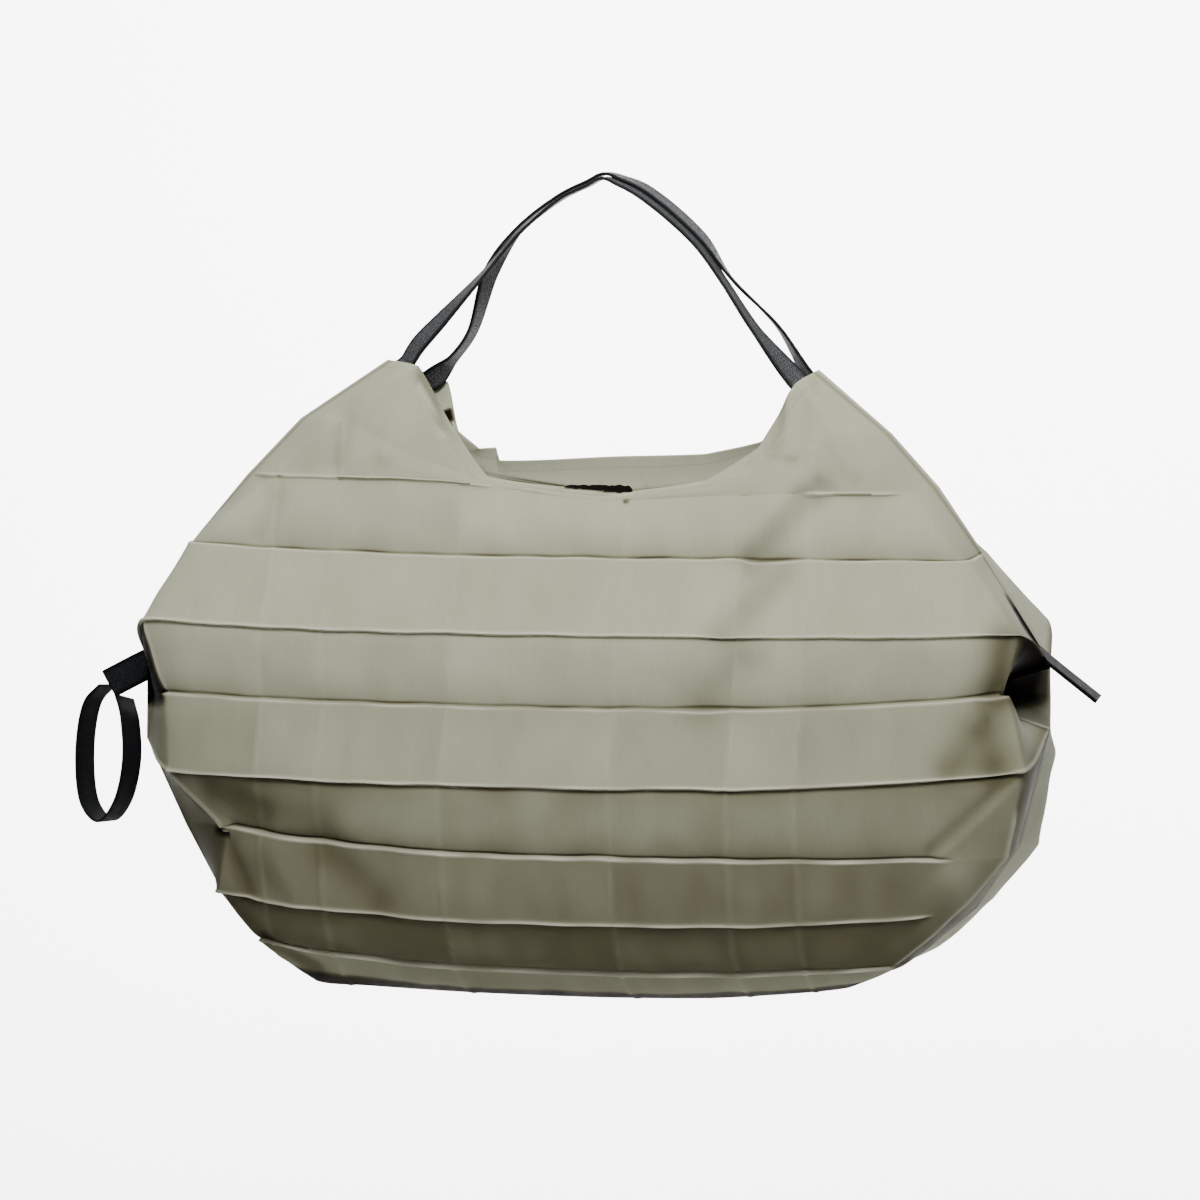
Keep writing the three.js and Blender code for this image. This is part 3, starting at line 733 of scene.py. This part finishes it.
def panel_grid(rim, wrinkles, side):
    """A panel's outer and inner face, with the painted shade and painted highlights of each."""
    places = column_places()
    lines = panel_lines(rim, side, places)
    strips = [cloth_strip(k, lines, places, wrinkles, side) for k in range(len(FOLDS))]
    grid, gap, rise, mark, shade, level = (np.concatenate(parts) for parts in zip(*strips))
    window = np.clip(np.minimum(places, places[-1] - places) / END_WINDOW, 0, 1)
    add_end_shadows(shade, level, places, FRONT_END_SHADOWS if side == FRONT else BACK_END_SHADOWS)
    add_corner_lines(rise, mark, grid, level)
    if side == FRONT:
        add_slit(mark, shade, grid)
        add_turned_hem(mark, shade, grid)
    shade += UNDERSIDE_SHADOW["dark"] * ramp(level, UNDERSIDE_SHADOW["top"], UNDERSIDE_SHADOW["bottom"])[:, None]
    ends = np.where((places < places[-1] / 2)[None, :, None], grid[:, :1], grid[:, -1:])
    seam = np.linalg.norm(grid - ends, axis=2)
    mark = np.maximum(mark, SEAM_LINE["mark"] * bell(seam, SEAM_LINE["width"]))
    shade += SEAM_SHADE["dark"] * bell(seam - SEAM_SHADE["at"], SEAM_SHADE["width"])
    normals = grid_normals(grid)
    outer = grid + (window * rise)[..., None] * normals
    outer[..., 1] = np.maximum(outer[..., 1], gap + CLOTH * abs(normals[..., 1]))
    thick = CLOTH + (CAD_CLOTH - CLOTH) * ramp(lengths_down(grid), *THICKENING)
    inner = outer - thick[..., None] * normals
    inner[..., 1] = np.maximum(inner[..., 1], gap)
    tones = {"painted_highlight": mark, "fold_shade": np.clip(shade, 0, BLACK)}
    dark = inside_shade(grid, level, places, side)
    return outer, inner, tones, {"painted_highlight": np.zeros_like(mark), "fold_shade": dark}


def cloth_lengths(grid):
    """Lengths along and down the cloth, for its weave."""
    along = np.linalg.norm(np.diff(grid, axis=1), axis=2).cumsum(axis=1)
    along = np.hstack([np.zeros((len(grid), 1)), along])
    along -= along[:, [grid.shape[1] // 2]]
    return np.stack([along, lengths_down(grid)], axis=2) * MM


def mesh_piece(name, points, faces, lengths, material, tones=None):
    """A smooth-shaded piece with its weave lengths as UVs and, on cloth, its painted shade and highlights.
    """
    mesh = bpy.data.meshes.new(name)
    mesh.from_pydata((np.asarray(points) * MM).tolist(), [], faces)
    mesh.update()
    layer = mesh.uv_layers.new(name="weave")
    corners = np.zeros(len(mesh.loops), int)
    mesh.loops.foreach_get("vertex_index", corners)
    layer.data.foreach_set("uv", np.asarray(lengths)[corners].astype(np.float32).ravel())
    for key, values in (tones or {}).items():
        tone = mesh.attributes.new(key, "FLOAT", "POINT")
        tone.data.foreach_set("value", np.asarray(values, np.float32))
    mesh.polygons.foreach_set("use_smooth", [True] * len(mesh.polygons))
    mesh.materials.append(material)
    made = bpy.data.objects.new(name, mesh)
    bpy.context.scene.collection.objects.link(made)
    return made


def inside_rows(rows):
    """Which rows of the outer face the inside follows."""
    start = len(SHOULDER_ROWS)
    kept = list(range(start))
    for first in range(start, rows - 1, len(PLEAT_ROWS)):
        kept += [first + row for row in INSIDE_ROWS]
    return kept + [rows - 1]


def cloth_panel(name, node, rim, wrinkles, side, material):
    """One closed sheet of cloth with its folds, standing for a panel."""
    outer, inner, tones, inside = panel_grid(rim, wrinkles, side)
    rows, columns = outer.shape[:2]
    kept = inside_rows(rows)
    lengths = cloth_lengths(outer)
    flip = np.array((1, side, 1))
    points = np.vstack([outer.reshape(-1, 3), inner[kept].reshape(-1, 3)]) * flip
    index = np.arange(rows * columns).reshape(rows, columns)
    deep = rows * columns + np.arange(len(kept) * columns).reshape(len(kept), columns)
    faces = []

    def add(rings):
        faces.extend(ring[::-1] if side > 0 else ring for ring in rings)

    def quads(a, b, c, d):
        add(np.stack([r.ravel() for r in (a, b, c, d)], axis=1).tolist())

    quads(index[:-1, :-1], index[1:, :-1], index[1:, 1:], index[:-1, 1:])
    quads(deep[:-1, :-1], deep[:-1, 1:], deep[1:, 1:], deep[1:, :-1])
    quads(index[0, :-1], index[0, 1:], deep[0, 1:], deep[0, :-1])
    quads(index[-1, 1:], index[-1, :-1], deep[-1, :-1], deep[-1, 1:])
    for i, (top, low) in enumerate(zip(kept, kept[1:])):
        left = index[top:low + 1, 0].tolist()
        right = index[top:low + 1, -1].tolist()
        add([left[::-1] + [int(deep[i, 0]), int(deep[i + 1, 0])]])
        add([right + [int(deep[i + 1, -1]), int(deep[i, -1])]])
    both = np.vstack([lengths.reshape(-1, 2), lengths[kept].reshape(-1, 2)])
    for key, tone in tones.items():
        tones[key] = np.concatenate([tone.ravel(), inside[key][kept].ravel()])
    panel = mesh_piece(name, points, faces, both, material, tones)
    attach(panel, "root")
    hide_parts(node)
    return panel


# Webbing and band

def sewn_stations(rim, side, seat):
    """Where a handle is sewn inside a peak, from below the rim up to it."""
    shoulder = fold_stations(FOLDS[0], side)
    flip = np.array((1, side, 1))
    pair = (seat.near, seat.far)
    top = curve(list(rim.values()), pair, RIM_TAUTNESS)
    fall = curve(shoulder, pair) - top
    inset = CAD_CLOTH + seat.clear + HANDLE["thickness"] / 2
    stations = []
    for share in (seat.sewn, 0):
        edge = (top + fall * share) * flip
        across = edge[1] - edge[0]
        face = np.cross(across, fall[0] * flip)
        face *= np.sign(face[1] * side) / np.linalg.norm(face)
        lean = across / np.linalg.norm(across) * seat.lean * np.linalg.norm(fall[0]) * share
        stations.append(Station("sewn", tuple(edge.mean(axis=0) - face * inset + lean), tuple(face)))
    return stations


def strap_section(width, thickness):
    """The rounded outline of a flat strap, from one edge over the outer face and back."""
    half = width / 2 - thickness / 2
    radius = thickness / 2
    across = np.linspace(-half, half, FACE_STEPS)
    turn = np.radians(np.linspace(90, -90, EDGE_STEPS)[1:-1])
    right = [(half + math.cos(a) * radius, math.sin(a) * radius) for a in turn]
    left = [(-x, -y) for x, y in right]
    return [(x, radius) for x in across] + right + [(x, -radius) for x in across[::-1]] + left


def strap(name, node, slot, stations, size, material):
    """A flat strap along stations, with its outer face turned as they say."""
    spans = len(stations) - 1
    places = np.linspace(0, spans, spans * STRAP_STEPS + 1)
    centre = curve([s.at for s in stations], places)
    ahead = np.gradient(centre, axis=0)
    ahead /= np.linalg.norm(ahead, axis=1, keepdims=True)
    face = curve([s.face for s in stations], places)
    face -= ahead * (face * ahead).sum(axis=1, keepdims=True)
    face /= np.linalg.norm(face, axis=1, keepdims=True)
    across = np.cross(ahead, face)
    section = strap_section(**size)
    sides = len(section)
    points = np.stack([centre + across * u + face * v for u, v in section], axis=1).reshape(-1, 3)
    run = np.concatenate([[0], np.linalg.norm(np.diff(centre, axis=0), axis=1).cumsum()])
    lengths = [(along * MM, u * MM) for along in run for u, _ in section]
    index = np.arange(len(points)).reshape(-1, sides)
    ring = np.roll(index, -1, axis=1)
    faces = np.stack([index[:-1], ring[:-1], ring[1:], index[1:]], axis=2).reshape(-1, 4).tolist()
    faces.append(index[0, ::-1].tolist())
    faces.append(index[-1].tolist())
    piece = mesh_piece(name, points, faces, lengths, material)
    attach(piece, "root")
    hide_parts(node)
    return piece


# Finishes

class Wire:
    """One value in a finish. Sums, products and comparisons of it add Math nodes."""

    def __init__(self, finish, socket):
        self.finish = finish
        self.socket = socket

    def math(self, operation, first, second=None):
        values = {0: first} if second is None else {0: first, 1: second}
        return self.finish.node("ShaderNodeMath", {"operation": operation}, values)

    def __add__(self, other):
        return self.math("ADD", self, other)

    __radd__ = __add__

    def __mul__(self, other):
        return self.math("MULTIPLY", self, other)

    __rmul__ = __mul__

    def __sub__(self, other):
        return self.math("SUBTRACT", self, other)

    def __rsub__(self, other):
        return self.math("SUBTRACT", other, self)

    def __truediv__(self, other):
        return self.math("DIVIDE", self, other)

    def __lt__(self, other):
        return self.math("LESS_THAN", self, other)

    def __gt__(self, other):
        return self.math("GREATER_THAN", self, other)

    def sine(self):
        return self.math("SINE", self)

    def size(self):
        return self.math("ABSOLUTE", self)


class Finish:
    """A procedural material with one cloth shader."""

    def __init__(self, name):
        self.material = bpy.data.materials.new(name)
        self.material.use_nodes = True
        self.tree = self.material.node_tree
        self.shader = self.tree.nodes["Principled BSDF"]

    def node(self, kind, settings=None, values=None, output=0):
        made = self.tree.nodes.new(kind)
        for key, setting in (settings or {}).items():
            setattr(made, key, setting)
        self.feed(made, values or {})
        return Wire(self, made.outputs[output])

    def feed(self, made, values):
        for key, value in values.items():
            socket = made.inputs[key]
            if isinstance(value, Wire):
                self.tree.links.new(value.socket, socket)
            else:
                socket.default_value = value

    def weave_lengths(self):
        """The lengths along and across the weave, in millimetres."""
        place = self.node("ShaderNodeUVMap", {"uv_map": "weave"})
        along = self.node("ShaderNodeSeparateXYZ", None, {0: place}, "X")
        across = self.node("ShaderNodeSeparateXYZ", None, {0: place}, "Y")
        return place, along * 1000, across * 1000

    def tone(self, name):
        return self.node("ShaderNodeAttribute", {"attribute_name": name}, None, "Fac")

    def noise(self, place, scale):
        values = {"Vector": place, "Scale": scale, "Detail": NOISE_DETAIL}
        return self.node("ShaderNodeTexNoise", None, values, "Fac")

    def stretch(self, place, along, across):
        settings = {"operation": "MULTIPLY"}
        return self.node("ShaderNodeVectorMath", settings, {0: place, 1: (along, across, 1)})

    def blend(self, amount, first, second):
        settings = {"data_type": "RGBA"}
        return self.node("ShaderNodeMix", settings, {0: amount, 6: first, 7: second}, 2)

    def bump(self, height, distance, strength):
        values = {"Height": height, "Distance": distance, "Strength": strength}
        return self.node("ShaderNodeBump", None, values)


def linear(red, green, blue):
    """A colour given as it looks on a screen, from 0 to 255, as the shader takes it."""
    shares = [c / 255 for c in (red, green, blue)]
    return tuple(c / 12.92 if c <= 0.04045 else ((c + 0.055) / 1.055) ** 2.4 for c in shares) + (1,)


def cloth_finish():
    """Thin plain-woven nylon with a stitched hem, with the panels' painted shade, black shadow and
    highlights.
    """
    finish = Finish("bag_cloth")
    place, along, down = finish.weave_lengths()
    threads = (along * (math.tau / THREAD)).sine() * (down * (math.tau / THREAD)).sine()
    patch = finish.noise(place, PATCHES)
    streak = finish.noise(finish.stretch(place, *STREAKS), 1.0)
    slub = finish.noise(finish.stretch(place, *SLUBS), 1.0)
    hem = (down - STITCH["below"]).size() < STITCH["half_width"]
    stitch = hem * ((along * (math.tau / STITCH["length"])).sine() > STITCH["gap"])
    nylon = {key: linear(*colour) for key, colour in NYLON.items()}
    tone = finish.blend(patch, nylon["dull"], nylon["bright"])
    tone = finish.blend(streak * STREAK_SHOWS, tone, nylon["streak"])
    tone = finish.blend(slub * SLUB_SHOWS, tone, nylon["slub"])
    # Painted shade, then painted highlights, then painted black shadow where the shade passes 1.
    shade = finish.tone("fold_shade")
    tone = finish.blend(shade, tone, nylon["shade"])
    tone = finish.blend(finish.tone("painted_highlight") * HIGHLIGHT_SHOWS, tone, nylon["mark"])
    tone = finish.blend(stitch * STITCH_SHOWS, tone, nylon["stitch"])
    colour = finish.blend(shade - 1, tone, nylon["black"])
    height = threads * 0.5 + slub * 0.8 - stitch * 2.0
    finish.feed(finish.shader, {
        "Base Color": colour,
        "Roughness": 0.62 + patch * 0.14,
        "Specular IOR Level": 0.03,
        "Normal": finish.bump(height, *CLOTH_BUMP),
    })
    return finish.material


def webbing_finish(webbing):
    """Flat woven webbing: ribs across the strap with a speckled twill running over them."""
    finish = Finish(webbing.name)
    dark, light = linear(*webbing.dark), linear(*webbing.light)
    place, along, across = finish.weave_lengths()
    ribs = (along * (math.tau / webbing.rib)).sine()
    twill = ((along + across.size() * 1.4) * (math.tau / (webbing.rib * 2.0))).sine()
    fibre = finish.noise(finish.stretch(place, *FIBRES), 1.0)
    patchy = finish.noise(place, WORN_SPOTS)
    speckle = (fibre - 0.5) * 2.4 + twill * 0.3 + ribs * 0.12 + 0.3
    tone = finish.blend(speckle, dark, light)
    tone = finish.blend(patchy * 0.2, tone, light)
    # Darker along both edges of the strap.
    edge_darkening = (across.size() - (webbing.width / 2 - EDGE_DARKENING["width"])) / EDGE_DARKENING["soft"]
    colour = finish.blend(edge_darkening * EDGE_DARKENING["shows"], tone, dark)
    height = ribs * 0.35 + twill * 0.35 + fibre * 0.6
    finish.feed(finish.shader, {
        "Base Color": colour,
        "Roughness": 0.6 + fibre * 0.15,
        "Specular IOR Level": webbing.gloss,
        "Normal": finish.bump(height, *WEBBING_BUMP),
    })
    return finish.material


def floor_finish():
    """Plain pale paper."""
    finish = Finish("pale_floor")
    finish.feed(finish.shader, {
        "Base Color": (0.88, 0.88, 0.87, 1),
        "Roughness": 0.9,
        "Specular IOR Level": 0.1,
    })
    return finish.material


# Studio

def make_camera():
    """A long lens at the photo's angle."""
    data = bpy.data.cameras.new("camera")
    data.sensor_width = SENSOR
    data.lens = SENSOR * CAMERA_DISTANCE / VIEW_WIDTH
    camera = bpy.data.objects.new("camera", data)
    back = Vector((
        math.sin(CAMERA_AZIMUTH) * math.cos(CAMERA_ELEVATION),
        -math.cos(CAMERA_AZIMUTH) * math.cos(CAMERA_ELEVATION),
        math.sin(CAMERA_ELEVATION),
    ))
    camera.location = CAMERA_TARGET + back * CAMERA_DISTANCE
    camera.rotation_euler = (-back).to_track_quat("-Z", "Y").to_euler()
    bpy.context.scene.collection.objects.link(camera)
    bpy.context.scene.camera = camera


def soft_light(light):
    """A square soft box."""
    data = bpy.data.lights.new(light.name, "AREA")
    data.size = light.width
    data.energy = light.power
    data.spread = math.radians(light.spread)
    made = bpy.data.objects.new(light.name, data)
    made.location = light.at
    made.rotation_euler = (Vector(light.aim) - Vector(light.at)).to_track_quat("-Z", "Y").to_euler()
    bpy.context.scene.collection.objects.link(made)


def make_floor(material):
    """A pale sheet far below the hanging bag that runs back and sweeps up behind it."""
    low, far, radius, steps = (FLOOR[key] for key in ("height", "far", "radius", "steps"))
    profile = [(FLOOR["near"], low), (far, low)]
    for step in range(1, steps + 1):
        turn = math.pi / 2 * step / steps
        profile.append((far + radius * math.sin(turn), low + radius * (1 - math.cos(turn))))
    profile.append((far + radius, FLOOR["top"]))
    points = [(x, y, z) for y, z in profile for x in (-FLOOR["half"], FLOOR["half"])]
    faces = [(2 * i, 2 * i + 1, 2 * i + 3, 2 * i + 2) for i in range(len(profile) - 1)]
    mesh = bpy.data.meshes.new("floor")
    mesh.from_pydata(points, [], faces)
    mesh.polygons.foreach_set("use_smooth", [True] * len(mesh.polygons))
    mesh.materials.append(material)
    floor = bpy.data.objects.new("floor", mesh)
    bpy.context.scene.collection.objects.link(floor)


def make_light():
    """A pale room, soft boxes in front of the bag and above it, and two more on the backdrop."""
    world = bpy.data.worlds.new("room")
    bpy.context.scene.world = world
    world.use_nodes = True
    background = world.node_tree.nodes["Background"]
    for key, value in ROOM.items():
        background.inputs[key].default_value = value
    for light in LIGHTS:
        soft_light(light)


make_camera()
make_light()
make_floor(floor_finish())
nylon = cloth_finish()
woven = {webbing.name: webbing_finish(webbing) for webbing in WEBBINGS}

front = cloth_panel("front_cloth", "front_panel", FRONT_RIM, FRONT_WRINKLES, FRONT, nylon)
back = cloth_panel("back_cloth", "back_panel", BACK_RIM, BACK_WRINKLES, BACK, nylon)

front_ends = [sewn_stations(FRONT_RIM, FRONT, seat) for seat in FRONT_SEATS]
back_ends = [sewn_stations(BACK_RIM, BACK, seat) for seat in BACK_SEATS]
front_route = front_ends[0] + FRONT_HANDLE + front_ends[1][::-1]
back_route = back_ends[0] + BACK_HANDLE + back_ends[1][::-1]
Strap = namedtuple("Strap", "name node slot stations size")
STRAPS = [
    Strap("front_strap", "front_handle", "handle_webbing", front_route, HANDLE),
    Strap("back_strap", "back_handle", "handle_webbing", back_route, HANDLE),
    Strap("left_end_tab", "left_tab", "tab_webbing", LEFT_TAB, TAB),
    Strap("right_end_tab", "right_tab", "tab_webbing", RIGHT_TAB, TAB),
    Strap("band_loop", "pull_loop", "elastic_band", PULL_LOOP, BAND),
]
for row in STRAPS:
    strap(*row, woven[row.slot])
